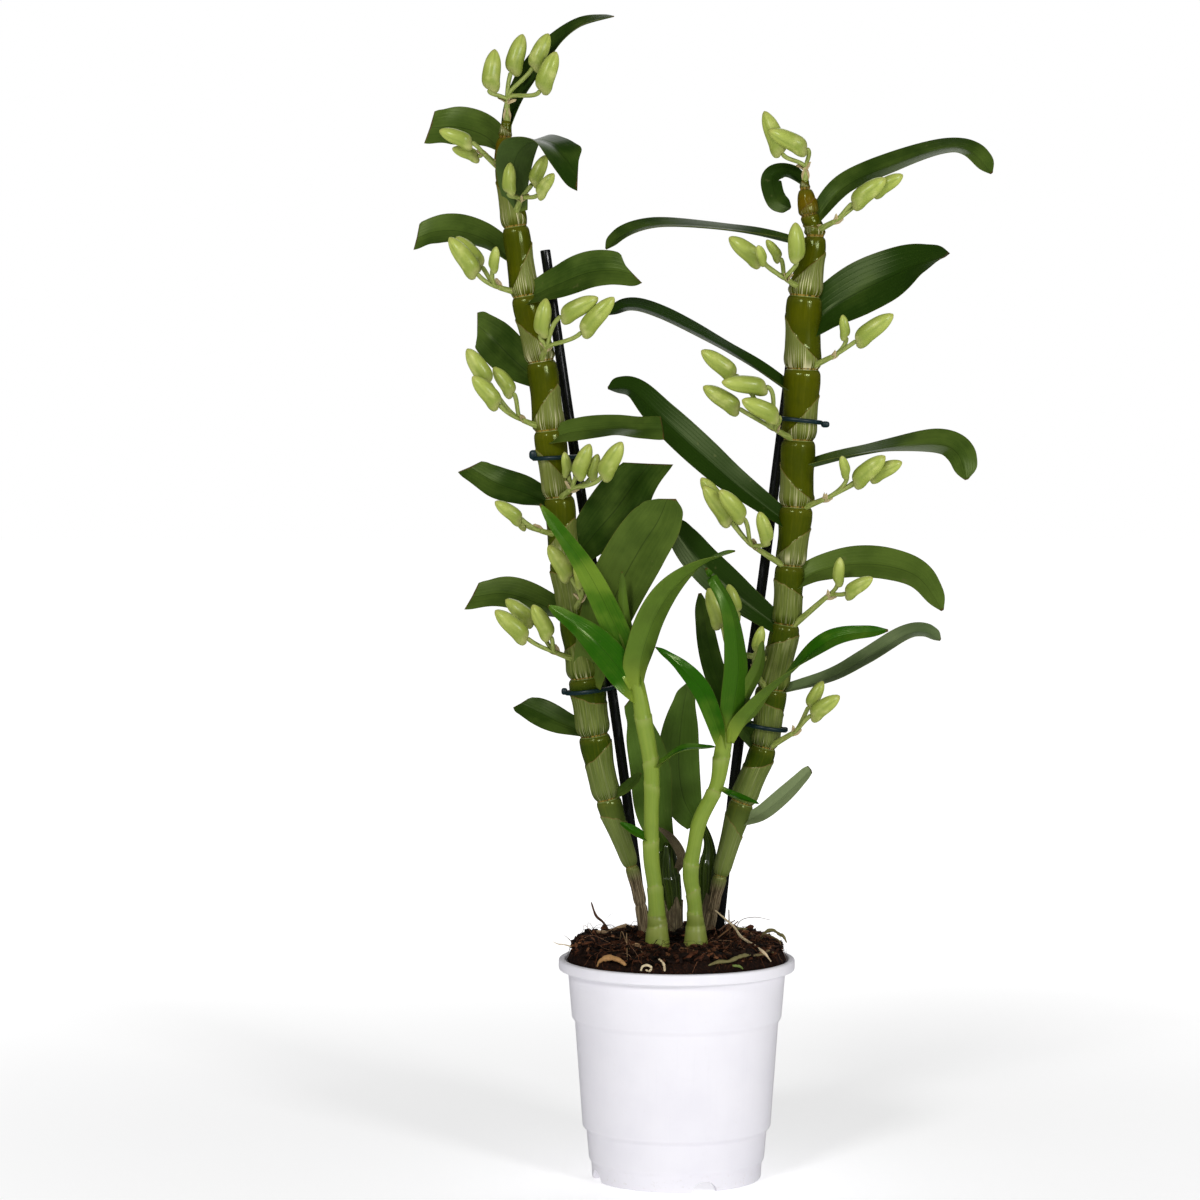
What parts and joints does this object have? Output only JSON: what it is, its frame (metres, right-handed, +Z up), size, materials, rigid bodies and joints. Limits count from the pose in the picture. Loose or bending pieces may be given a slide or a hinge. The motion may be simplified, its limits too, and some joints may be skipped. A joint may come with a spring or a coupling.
{
  "type": "potted orchid",
  "caption": "Two-caned Dendrobium orchid in bud, with leaves, young shoots, stakes and clips, growing from bark in a round stepped white pot.",
  "frame": {"origin": "centre of the pot's foot, on the ground", "axes": "+Z up along the pot's axis; -Y toward the front, where the young shoots stand; +X to the right seen from the front"},
  "size_m": [0.2936, 0.12, 0.5913],
  "materials": {
    "pot": "satin",
    "growing_medium": "matte",
    "cane": "gloss",
    "leaf": "satin",
    "bud": "satin",
    "young_shoot": "satin",
    "old_bulb": "satin",
    "stake": "gloss",
    "clip": "satin"
  },
  "bodies": {
    "root": {"buds_left_1": "bud", "buds_left_10": "bud", "buds_left_2": "bud", "buds_left_3": "bud", "buds_left_4": "bud", "buds_left_5": "bud", "buds_left_6": "bud", "buds_left_7": "bud", "buds_left_8": "bud", "buds_left_9": "bud", "buds_right_1": "bud", "buds_right_10": "bud", "buds_right_11": "bud", "buds_right_2": "bud", "buds_right_3": "bud", "buds_right_4": "bud", "buds_right_5": "bud", "buds_right_6": "bud", "buds_right_7": "bud", "buds_right_8": "bud", "buds_right_9": "bud", "cane_left": "cane", "cane_right": "cane", "clip_left_lower": "clip", "clip_left_upper": "clip", "clip_right_lower": "clip", "clip_right_upper": "clip", "leaf_left_1": "leaf", "leaf_left_10": "leaf", "leaf_left_11": "leaf", "leaf_left_12": "leaf", "leaf_left_13": "leaf", "leaf_left_2": "leaf", "leaf_left_3": "leaf", "leaf_left_4": "leaf", "leaf_left_5": "leaf", "leaf_left_6": "leaf", "leaf_left_7": "leaf", "leaf_left_8": "leaf", "leaf_left_9": "leaf", "leaf_right_1": "leaf", "leaf_right_10": "leaf", "leaf_right_11": "leaf", "leaf_right_12": "leaf", "leaf_right_2": "leaf", "leaf_right_3": "leaf", "leaf_right_4": "leaf", "leaf_right_5": "leaf", "leaf_right_6": "leaf", "leaf_right_7": "leaf", "leaf_right_8": "leaf", "leaf_right_9": "leaf", "old_bulb_left": "old_bulb", "old_bulb_right": "old_bulb", "pot": "pot", "shoot_left": "young_shoot", "shoot_right": "young_shoot", "stake_left": "stake", "stake_right": "stake", "substrate": "growing_medium"}
  },
  "joints": []
}
